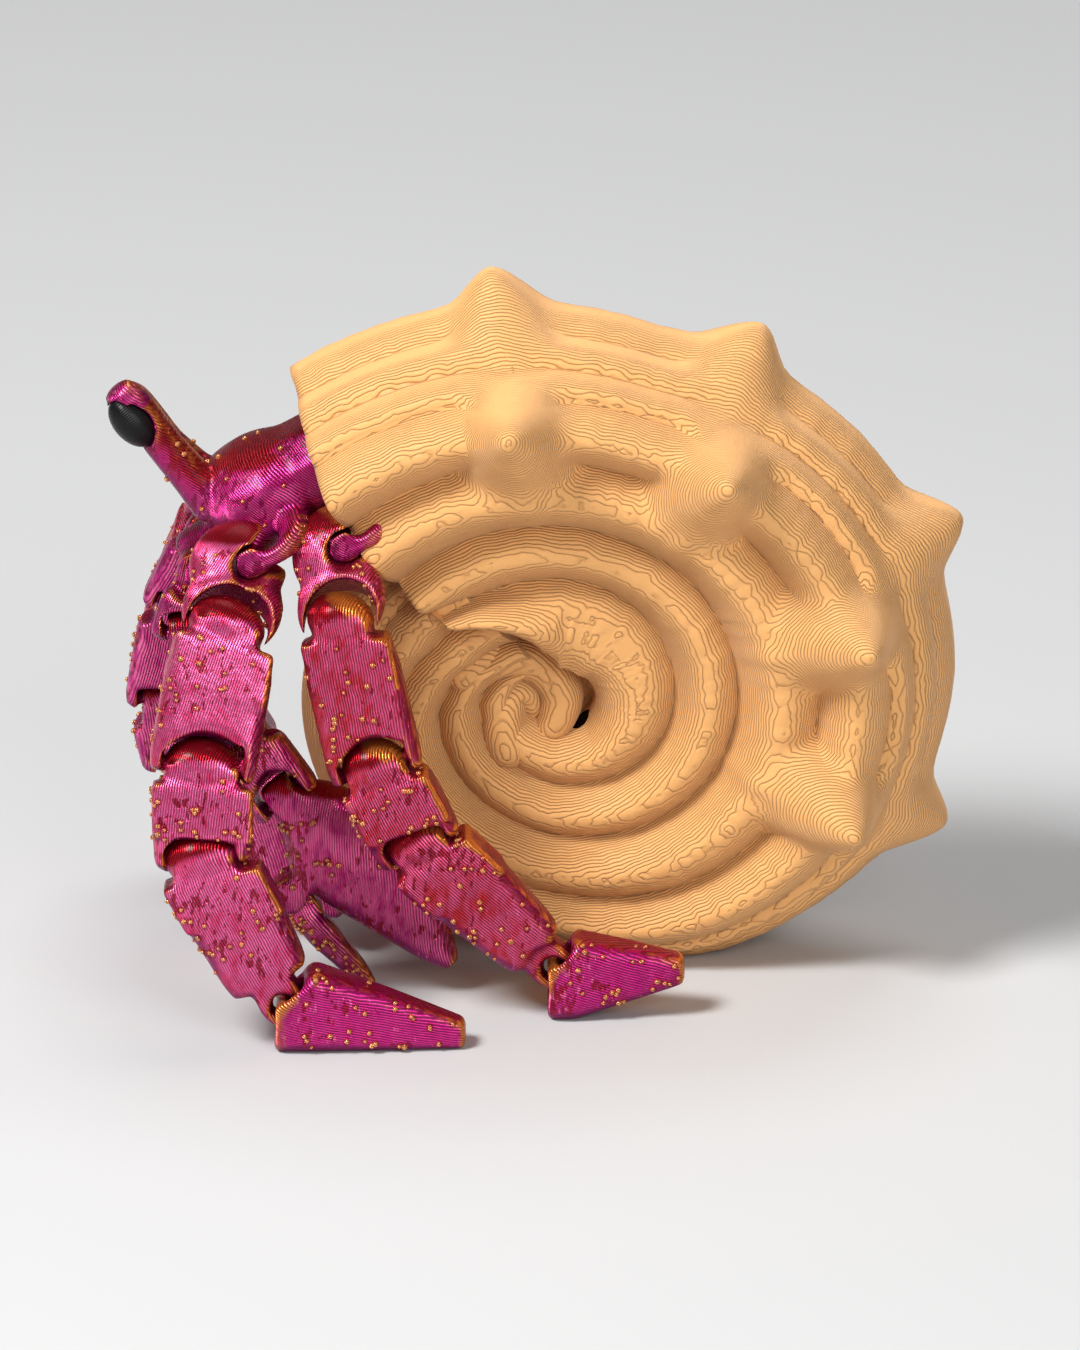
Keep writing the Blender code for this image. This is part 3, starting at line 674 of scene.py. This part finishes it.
def coil_surface(looks):
    """The whole shell: the last turn with its mouth, and the earlier turns in its middle."""
    step = math.degrees(looks.ring_step)
    bm = bmesh.new()
    curve, hollows = section_curve(looks, SECTION[0][0])
    corner_end = next(i for i, p in enumerate(curve) if p.x > MOUTH_RADIUS)
    start = MOUTH_ANGLE - 360.0
    count = round(360.0 / step)
    angles = [start + 360.0 * i / count for i in range(count + 1)]
    inward = [MOUTH_ANGLE - HAIR - k for k in MOUTH_STEPS]
    outer = set(angles)
    inner_radius, inner_axial, _ = SECTION[0]
    last_axial = SECTION[-1][1]

    def at(angle, k):
        inside = angle not in outer
        radius, axial = curve[k]
        edge_radius, edge_axial = inner_edge(angle)
        end = max(EDGE_END, edge_radius + EDGE_WIDTH)
        near = max(0.0, (end - radius) / (end - inner_radius))
        radius += (edge_radius - inner_radius) * near
        share = min(1.0, (last_axial - axial) / (last_axial - inner_axial))
        axial += (edge_axial - inner_axial) * near * share
        extra = 0.0
        if k < corner_end:
            ramp = max(0.0, 1.0 - (MOUTH_ANGLE - angle) / MOUTH_RAMP)
            slanted = min(MOUTH_CORNER, max(0.0, MOUTH_RADIUS - radius) * MOUTH_SLANT)
            extra = ramp * slanted * (1.0 - MOUTH_EASE * near**4)
        if inside:
            share = HOLLOW_SHARE if angle < MOUTH_ANGLE - LIP_DEPTH else LIP_SHARE
            radius, axial = MOUTH_MIDDLE.lerp(Vector((max(radius, MOUTH_FLOOR), axial)), share)
        rib = 0.0
        if radius > RIB_RADIUS and not inside:
            full = min(1.0, (radius - RIB_RADIUS) / RIB_FADE)
            rib = RIB_HEIGHT * math.sin(math.radians(angle) * RIB_COUNT) * full
            across = math.exp(-(((radius - SWELL_RADIUS) / SWELL_WIDTH) ** 2))
            for spot, _ in SPINE_ANGLES:
                rib += SWELL_HEIGHT * math.exp(-(((angle - spot) / SWELL_ANGLE) ** 2)) * across
        wave = WAVE_HEIGHT * noise.noise(Vector((angle / WAVE_ANGLE, radius / WAVE_WIDTH, WAVE_PLACE)))
        return coil_point(angle + extra, radius, axial + math.copysign(rib + wave, axial))

    wrap(bm, curve, angles + inward, at, hollows)
    core_curve, _ = section_curve(looks, CORE_RADIUS)
    core_start, core_end = [MOUTH_ANGLE - end for end in CORE_ENDS]
    count = round((core_end - core_start) / (step * CORE_COARSENESS))
    core = [core_start + (core_end - core_start) * i / count for i in range(count + 1)]
    wrap(bm, core_curve, core, lambda turn, k: coil_point(turn, core_curve[k].x, max(core_curve[k].y, 0.0)))
    for stations in STRANDS:
        add_strand(bm, stations)
    for pair in SPINE_ANGLES:
        for angle, row in zip(pair, (SHOULDER_SPINE, RIM_SPINE)):
            raise_spine(bm, angle, row)
    for vert in bm.verts:
        vert.co.z = max(vert.co.z, 0.0)
    bmesh.ops.recalc_face_normals(bm, faces=bm.faces)
    bmesh.ops.scale(bm, vec=(MM, MM, MM), verts=bm.verts)
    return bm


def worked(bm, kind, other=None, **settings):
    """The mesh after one modifier, with the other mesh as its object where it takes one."""
    made = []
    for mesh_data in (bm, other):
        if mesh_data:
            mesh = bpy.data.meshes.new("work")
            mesh_data.to_mesh(mesh)
            mesh_data.free()
            made.append(bpy.data.objects.new("work", mesh))
            bpy.context.scene.collection.objects.link(made[-1])
    change = made[0].modifiers.new("Change", kind)
    if other:
        change.object = made[1]
    for name, value in settings.items():
        setattr(change, name, value)
    bpy.context.view_layer.update()
    result = bmesh.new()
    result.from_mesh(made[0].evaluated_get(bpy.context.evaluated_depsgraph_get()).to_mesh())
    for spare in made:
        bpy.data.objects.remove(spare)
    return result


def joined(*parts):
    """The parts in one mesh, still apart."""
    bm = bmesh.new()
    for part in parts:
        mesh = bpy.data.meshes.new("part")
        part.to_mesh(mesh)
        part.free()
        bm.from_mesh(mesh)
        bpy.data.meshes.remove(mesh)
    return bm


def solid_copy(node):
    """A copy of a solid's mesh with its corners joined up."""
    bm = bmesh.new()
    bm.from_mesh(frame["nodes"][node].data)
    bmesh.ops.remove_doubles(bm, verts=bm.verts, dist=1e-6)
    return bm


def melted(bm, voxel, passes):
    """The parts melted into one fine surface and evened out."""
    bm = worked(bm, "REMESH", mode="VOXEL", voxel_size=voxel)
    edge = bm.verts.layers.float.new("edge")
    for count in (passes, EDGE_PASSES):
        before = [vert.co.copy() for vert in bm.verts]
        for _ in range(count):
            bmesh.ops.smooth_vert(
                bm, verts=bm.verts, factor=0.5, use_axis_x=True, use_axis_y=True, use_axis_z=True
            )
    bm.normal_update()
    for vert, place in zip(bm.verts, before):
        vert[edge] = (place - vert.co).dot(vert.normal) / (EDGE_SCALE * voxel)
    return bm


def less(bm, cutter):
    """The mesh with the other one cut out of it."""
    return worked(bm, "BOOLEAN", cutter, operation="DIFFERENCE", solver="EXACT")


def shaped(bm, centre, axes, radii):
    shape = Matrix(axes).transposed() @ Matrix.Diagonal([r * MM for r in radii])
    bmesh.ops.transform(bm, matrix=Matrix.Translation(centre) @ shape.to_4x4(), verts=bm.verts)
    bmesh.ops.recalc_face_normals(bm, faces=bm.faces)
    return bm


def ball(centre, axes, radii):
    """A round solid with its radii along three axes, in millimetres."""
    bm = bmesh.new()
    bmesh.ops.create_icosphere(bm, subdivisions=4, radius=1.0)
    return shaped(bm, centre, axes, radii)


def block(centre, axes, halves):
    """A plain block with its half sizes along three axes, in millimetres."""
    bm = bmesh.new()
    bmesh.ops.create_cube(bm, size=2.0)
    return shaped(bm, centre, axes, halves)


def rod(centre, axis, radius, half):
    bm = bmesh.new()
    bmesh.ops.create_cone(
        bm, cap_ends=True, segments=48, radius1=radius, radius2=radius, depth=2 * half,
        matrix=Matrix.Translation(centre) @ axis.to_track_quat("Z", "Y").to_matrix().to_4x4(),
    )
    return bm


def ring(centre, major, minor):
    """A round loop about an axis from side to side."""
    bm = bmesh.new()
    bmesh.ops.create_circle(bm, segments=20, radius=minor, matrix=Matrix.Translation((major, 0, 0)))
    upright = Matrix.Rotation(math.radians(90), 3, "Z")
    bmesh.ops.rotate(bm, verts=bm.verts, cent=(major, 0, 0), matrix=upright)
    bmesh.ops.spin(
        bm, geom=bm.verts[:] + bm.edges[:], cent=(0, 0, 0), axis=(0, 0, 1), angle=math.tau, steps=40,
        use_merge=True,
    )
    bmesh.ops.remove_doubles(bm, verts=bm.verts, dist=1e-7)
    turn = Matrix.Rotation(math.radians(90), 4, "X")
    bmesh.ops.transform(bm, matrix=Matrix.Translation(centre) @ turn, verts=bm.verts)
    bmesh.ops.recalc_face_normals(bm, faces=bm.faces)
    return bm


def add_beads(bm, count, radius, wanted, seed):
    """Small round beads half sunk in the surface, more of them where wanted says so."""
    picker = random.Random(seed)
    layer = bm.verts.layers.float.new("bead")
    bead_shade = bm.verts.layers.float.new("bead_shade")
    faces = [f for f in bm.faces if picker.random() < wanted(f.normal, f.calc_center_median())]
    picked = picker.sample(faces, min(count, len(faces)))
    spots = [(f.calc_center_median().copy(), f.normal.copy()) for f in picked]
    near = KDTree(len(spots))
    for i, (place, _) in enumerate(spots):
        near.insert(place, i)
    near.balance()
    # painted shade: how near each vertex lies to a bead, for a darker ring round it
    for vert in bm.verts:
        distance = near.find(vert.co)[2] if spots else 1.0
        vert[bead_shade] = max(0.0, 1.0 - distance / (radius * BEAD_SHADE_REACH))
    for place, normal in spots:
        size = radius * picker.uniform(BEAD_SMALLEST, 1.0)
        made = bmesh.ops.create_icosphere(
            bm, subdivisions=2, radius=size, matrix=Matrix.Translation(place + normal * size * BEAD_RISE)
        )
        for vert in made["verts"]:
            vert[layer] = 1.0


def frame_of(axis, way, side):
    """The hinge axis, the way out of the front, and the way along the limb."""
    front = axis.cross(way).normalized()
    return axis, front if front.dot(side) > 0 else -front, way


def joint_ends():
    """Each limb piece's own hinge and the next one, in metres."""
    hinges = {j["child"]: Vector(j["pos_m"]) for j in frame["joints"]}
    ends = {}
    for limb, names in [(x, LEG_PIECES) for x in LIMBS] + [(x, CLAW_PIECES) for x in CLAWS]:
        for name, following in zip(names, names[1:] + (None,)):
            body = f"{limb}_{name}"
            here = hinges[body]
            if following:
                end = hinges[f"{limb}_{following}"]
            else:
                low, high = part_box(body)
                end = Vector((high.x, here.y, low.z))
            ends[body] = (here, end)
    return ends


def half_width(body):
    return next(half for name, half in HALF_WIDTHS if body.startswith(name))


def coxa_parts(half, start, end, axes):
    """The crest over the trunk's bar and the fork over the next piece, each cut free of both."""
    way = axes[2]
    crest = start + COXA_LEAN * MM + way * CREST_WAY * MM
    parts = [
        ball(crest, axes, (half - CREST_SHORT, *CREST_RADII)),
        ball(end - way * FORK_WAY * MM, axes, (half, *FORK_RADII)),
    ]
    for i, part in enumerate(parts):
        for below in COXA_ARCH_STEPS:
            arch = ball(end + way * below * MM, axes, (half - COXA_ARCH_SHORT, *COXA_ARCH_RADII))
            part = less(part, arch)
        part = less(part, block(end + way * (COXA_BLOCK + ARM_END) * MM, axes, [COXA_BLOCK] * 3))
        part = less(part, rod(start, Vector((0, 1, 0)), BAR_HOLE_RADIUS * MM, BAR_HOLE_HALF * MM))
        parts[i] = less(part, ball(start + BAR_OPENING * MM, Matrix.Identity(3), BAR_OPENING_RADII))
    return parts


def piece_parts(body, start, end, hinge, next_hinge):
    """The parts of one hinged piece, still apart: its solid, cut to fit, and what is added to it."""
    way = (end - start).normalized()
    side = Vector((0.0, -1.0 if start.y < 0 else 1.0, 0.0))
    half = half_width(body)
    leg = "leg" in body
    if leg and body.endswith("coxa"):
        return coxa_parts(half, start, end, frame_of(next_hinge, way, side))
    bm = solid_copy(body)
    extras = []
    if leg and not body.endswith("foot"):
        axes = frame_of(hinge, way, side)
        bm = less(bm, block(start - way * (PIECE_BLOCK + DOME_CUT) * MM, axes, [PIECE_BLOCK] * 3))
        extras.append(ball(start, axes, (half - DOME_SHORT, *DOME_RADII)))
        shoulder = start + (way * SHOULDER_WAY + axes[1] * SHOULDER_FRONT) * MM
        extras.append(block(shoulder, axes, (half, *SHOULDER_HALVES)))
    if next_hinge and not body.endswith("coxa"):
        axes = frame_of(next_hinge, way, side)
        if leg:
            bm = less(bm, block(end + way * (PIECE_BLOCK + ARM_END) * MM, axes, [PIECE_BLOCK] * 3))
        arch_radii = (half - DOME_SHORT, ARCH_DEPTH, DOME_RADII[0] + ARCH_LIFT)
        bm = less(bm, ball(end + axes[1] * ARCH_FRONT * MM, axes, arch_radii))
        if "leg_1" in body:
            web = end - (axes[1] * WEB_BACK + way * WEB_WAY) * MM
            extras.append(ball(web, axes, (half - WEB_SHORT, *WEB_RADII)))
    if body.endswith("propodus"):
        extras.append(ring(end, HOOK_MAJOR * MM, HOOK_MINOR * MM))
    if body.endswith("palm"):
        bulge = start + (PALM_ALONG * PALM_PLACE[0] + PALM_UPPER * PALM_PLACE[1]) * MM
        extras.append(ball(bulge, (PALM_ALONG, Vector((0, 1, 0)), PALM_UPPER), PALM_RADII))
    return [bm, *extras]


def bead_chance(body, start, end, number):
    """How likely a bead is on a face: in clusters on the outer side, and not at the piece's ends."""
    run = end - start
    outward = -1.0 if start.y < 0 else 1.0
    bare = BEAD_NEAR if "leg" in body and outward < 0 else BEAD_FAR

    def wanted(normal, place):
        share = (place - start).dot(run) / run.length_squared
        ends = 1.0 if BEAD_ENDS[0] < share < BEAD_ENDS[1] else 0.0
        cluster = 0.6 + 1.6 * noise.noise(place / (BEAD_CLUSTER * MM) + Vector((0, 0, 5.0 * number)))
        facing = max(0.0, bare + 0.5 * normal.y * outward - 0.35 * normal.x)
        return ends * cluster * facing * (normal.z > -0.6)

    return wanted


def mark_limb(bm, body, start, end, layer):
    """Keeps with each vertex its place among the layers, and how far it is dome and gold edge."""
    layers, dome, gold = [bm.verts.layers.float.new(n) for n in ("layers", "dome", "gold")]
    run = end - start
    outward = -1.0 if start.y < 0 else 1.0
    across = run.cross(Vector((0, 1, 0))).normalized()
    rise = (Vector((0, outward, 0)) * LAYERS_SIDE + across * LAYERS_ACROSS).normalized()
    for vert in bm.verts:
        share = (vert.co - start).dot(run) / run.length_squared
        down = (vert.co - start).dot(run.normalized()) / MM
        vert[layers] = vert.co.dot(rise) / layer
        vert[dome] = max(0.0, min(1.0, 0.15 - down * 0.45 + vert.normal.z * 0.25))
        if body.endswith("foot"):
            vert[gold] = max(0.0, (0.1 - share) * 5.0)
        elif "leg_2" in body:
            vert[gold] = max(0.0, (0.2 - share) * 1.5 + vert.normal.x + vert.normal.z - 0.9)


def finish_of(body):
    """Which silk a hinged piece has. Left and right are alike."""
    if body.endswith("foot"):
        return "foot"
    if body.endswith("coxa") and "leg" in body:
        return "leg_1"
    return body.rsplit("_", 2)[0]


def up_stalk(place):
    """How far up the near stalk a place in metres lies, from 0 at its foot to 1 at its top."""
    stalk = STALK_TOP - STALK_FOOT
    return (place / MM - STALK_FOOT).dot(stalk) / stalk.length_squared


# Pieces


class HERMIT_OT_shell(bpy.types.Operator):
    """Makes the coiled shell with its ridges, grooves and spines."""

    bl_idname = "hermit.shell"
    bl_label = "Shell"

    def execute(self, context):
        looks = context.scene.hermit_shell
        bm = coil_surface(looks)
        if len(bm.faces) > SHELL_MOST_FACES:
            raise RuntimeError("the shell has too many faces")
        finished(bm, "coiled_shell", shell_finish(looks), "root", ["shell"])
        # painted shade: a near-black ball fills the opening between the turns
        place, radii, turn = OPENING_SHADE
        bm = bmesh.new()
        bmesh.ops.create_uvsphere(bm, u_segments=24, v_segments=16, radius=MM)
        bmesh.ops.transform(
            bm, verts=bm.verts, matrix=Matrix.Translation(place * MM)
            @ Matrix.Rotation(math.radians(turn), 4, "Y") @ Matrix.Diagonal((*radii, 1.0)),
        )
        paint = Paint("Painted Opening Shade")
        depth = paint.cloud(paint.place(), 0.0004)
        paint.set(Base_Color=paint.blend(depth.eased(0.0, 1.0), (0.004, 0.002, 0.001), (0.012, 0.006, 0.003)))
        paint.set(Roughness=0.9, Specular_IOR_Level=0.0)
        finished(bm, "painted_opening_shade", paint.material, "root", [])
        return {"FINISHED"}


class HERMIT_OT_body(bpy.types.Operator):
    """Makes the head, trunk and eye stalks."""

    bl_idname = "hermit.body"
    bl_label = "Head and Trunk"

    def execute(self, context):
        looks = context.scene.hermit_crab
        extra = bmesh.new()
        for joint in frame["joints"]:
            if joint["parent"] == "root" and "leg" in joint["child"]:
                x, y, z = Vector(joint["pos_m"]) / MM
                side = math.copysign(1.0, y)
                add_strand(extra, [
                    (x + dx, y + side * dy, z + dz, radius) for dx, dy, dz, radius in BRACKET
                ])
        bmesh.ops.recalc_face_normals(extra, faces=extra.faces)
        bmesh.ops.scale(extra, vec=(MM, MM, MM), verts=extra.verts)
        trunk = solid_copy("body")
        for vert in trunk.verts:
            if vert.co.y > FAR_STALK_Y and vert.co.x < FAR_STALK_X:
                vert.co += FAR_STALK_NUDGE * MM * min(1.0, max(0.0, up_stalk(vert.co) * 2.0))
        bm = melted(joined(trunk, extra), looks.voxel * HEAD_COARSENESS, looks.smoothing + HEAD_PASSES)

        def wanted(_, place):
            front = place.x < HEAD_BEAD_BACK and HEAD_BEAD_HEIGHTS[0] < place.z < HEAD_BEAD_HEIGHTS[1]
            return HEAD_BEAD_CHANCE * front

        add_beads(bm, HEAD_BEADS, looks.bead, wanted, HEAD_SEED)
        layers, dome, gold = [bm.verts.layers.float.new(n) for n in ("layers", "dome", "gold")]
        for vert in bm.verts:
            share = up_stalk(vert.co)
            shaft = max(0.0, min(1.0, (share - 0.05) * 5.0)) * (share < 0.9)
            vert[layers] = vert.co.dot(HEAD_LAYERS) / looks.layer
            vert[dome] = shaft * (0.6 + 0.35 * vert.normal.x)
            vert[gold] = 0.22 * vert[dome]
        material = silk_finish("Silk Head", looks, looks.magenta, 0.25, 0.1)
        finished(bm, "head_and_trunk", material, "root", ["body"])
        return {"FINISHED"}


class HERMIT_OT_eyes(bpy.types.Operator):
    """Makes the two glossy eyes on their stalks."""

    bl_idname = "hermit.eyes"
    bl_label = "Eyes"

    def execute(self, context):
        looks = context.scene.hermit_crab
        material = eye_finish(looks)
        along = (STALK_TOP - STALK_FOOT).normalized()
        for side, node in ((1.0, "eye_left"), (-1.0, "eye_right")):
            low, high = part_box(node)
            nudge = FAR_STALK_NUDGE * MM if side < 0 else Vector()
            up = Vector((along.x, along.y * side, along.z))
            facing = Vector((EYE_FACING.x, EYE_FACING.y * side, EYE_FACING.z))
            facing = (facing - up * facing.dot(up)).normalized()
            turn = Matrix((facing, up.cross(facing), up)).transposed()
            shape = (turn @ Matrix.Diagonal(EYE_RADII)).to_4x4()
            bm = bmesh.new()
            bmesh.ops.create_uvsphere(bm, u_segments=48, v_segments=32, radius=MM)
            bmesh.ops.transform(
                bm, matrix=Matrix.Translation((low + high) / 2 + nudge) @ shape, verts=bm.verts
            )
            bmesh.ops.recalc_face_normals(bm, faces=bm.faces)
            finished(bm, f"{node}_ball", material, "root", [node])
        return {"FINISHED"}


class HERMIT_OT_limbs(bpy.types.Operator):
    """Makes the hinged pieces of the legs and claws, with their beads."""

    bl_idname = "hermit.limbs"
    bl_label = "Legs and Claws"

    def execute(self, context):
        looks = context.scene.hermit_crab
        finishes = {
            "leg_1": silk_finish("Silk Pink", looks, looks.pink, 0.9),
            "leg_2": silk_finish("Silk Red", looks, looks.red, 0.6),
            "claw": silk_finish("Silk Magenta", looks, looks.magenta, 0.95),
            "foot": silk_finish("Silk Crimson", looks, looks.magenta, 0.1),
        }
        hinge_of = {j["child"]: Vector(j["axis"]) for j in frame["joints"]}
        next_hinge = {
            j["parent"]: Vector(j["axis"]) for j in frame["joints"]
            if j["parent"] != "root" and not j["child"].endswith(("foot", "finger"))
        }
        for number, (body, (start, end)) in enumerate(sorted(joint_ends().items())):
            parts = piece_parts(body, start, end, hinge_of[body], next_hinge.get(body))
            passes = PALM_PASSES if body.endswith("palm") else looks.smoothing - EDGE_PASSES
            bm = melted(joined(*parts), looks.voxel, passes)
            beads = COXA_BEADS if body.endswith("coxa") else PIECE_BEADS
            add_beads(bm, beads, looks.bead, bead_chance(body, start, end, number), BEAD_SEED + number)
            mark_limb(bm, body, start, end, looks.layer)
            finished(bm, f"{body}_piece", finishes[finish_of(body)], body, [body])
        return {"FINISHED"}


class HERMIT_OT_stage(bpy.types.Operator):
    """Sets the floor, the soft lights and the camera."""

    bl_idname = "hermit.stage"
    bl_label = "Stage"

    def execute(self, context):
        looks, scene = context.scene.hermit_stage, context.scene
        bm = bmesh.new()
        bmesh.ops.create_grid(bm, x_segments=1, y_segments=1, size=FLOOR_SIZE)
        mesh = bpy.data.meshes.new("floor")
        bm.to_mesh(mesh)
        bm.free()
        floor = bpy.data.objects.new("floor", mesh)
        scene.collection.objects.link(floor)
        paint = Paint("Pale Floor")
        paint.set(Base_Color=looks.floor, Roughness=0.9, Specular_IOR_Level=0.1)
        mesh.materials.append(paint.material)
        world = scene.world or bpy.data.worlds.new("Studio")
        scene.world = world
        world.use_nodes = True
        back = world.node_tree.nodes["Background"]
        back.inputs["Color"].default_value = SKY
        back.inputs["Strength"].default_value = SKY_STRENGTH
        for name, place, size, power in LIGHTS:
            lamp = bpy.data.lights.new(name, "AREA")
            lamp.size, lamp.energy = size, power
            made = bpy.data.objects.new(name, lamp)
            made.location = place
            made.rotation_euler = (LIGHTS_AIM - Vector(place)).to_track_quat("-Z", "Y").to_euler()
            scene.collection.objects.link(made)
        lens = bpy.data.cameras.new("camera")
        lens.lens, lens.sensor_width = looks.lens, SENSOR
        distance = looks.frame_height / 2.0 / (SENSOR / 2.0 / looks.lens)
        camera = bpy.data.objects.new("camera", lens)
        back_way = Vector((0.0, -math.cos(looks.elevation), math.sin(looks.elevation)))
        camera.location = CAMERA_AIM + back_way * distance
        camera.rotation_euler = (-back_way).to_track_quat("-Z", "Y").to_euler()
        lens.clip_start, lens.clip_end = 0.05, 20.0
        scene.collection.objects.link(camera)
        scene.camera = camera
        scene.view_settings.view_transform = "Standard"
        return {"FINISHED"}


OPERATORS = (HERMIT_OT_shell, HERMIT_OT_body, HERMIT_OT_eyes, HERMIT_OT_limbs, HERMIT_OT_stage)
GROUPS = {"hermit_shell": ShellLooks, "hermit_crab": CrabLooks, "hermit_stage": StageLooks}


class HERMIT_PT_panel(bpy.types.Panel):
    """Lists the looks and the pieces."""

    bl_idname = "HERMIT_PT_panel"
    bl_label = "Hermit Crab"
    bl_space_type = "VIEW_3D"
    bl_region_type = "UI"
    bl_category = "Hermit Crab"

    def draw(self, context):
        for name, group in GROUPS.items():
            box = self.layout.box()
            for key in group.__annotations__:
                box.prop(getattr(context.scene, name), key)
        for operator in OPERATORS:
            self.layout.operator(operator.bl_idname)


def register():
    for made in (*GROUPS.values(), *OPERATORS, HERMIT_PT_panel):
        bpy.utils.register_class(made)
    for name, group in GROUPS.items():
        setattr(bpy.types.Scene, name, bpy.props.PointerProperty(type=group))


def unregister():
    for name in GROUPS:
        delattr(bpy.types.Scene, name)
    for made in reversed((*GROUPS.values(), *OPERATORS, HERMIT_PT_panel)):
        bpy.utils.unregister_class(made)


def main():
    register()
    for operator in OPERATORS:
        group, name = operator.bl_idname.split(".")
        getattr(getattr(bpy.ops, group), name)()


if __name__ == "__main__":
    main()
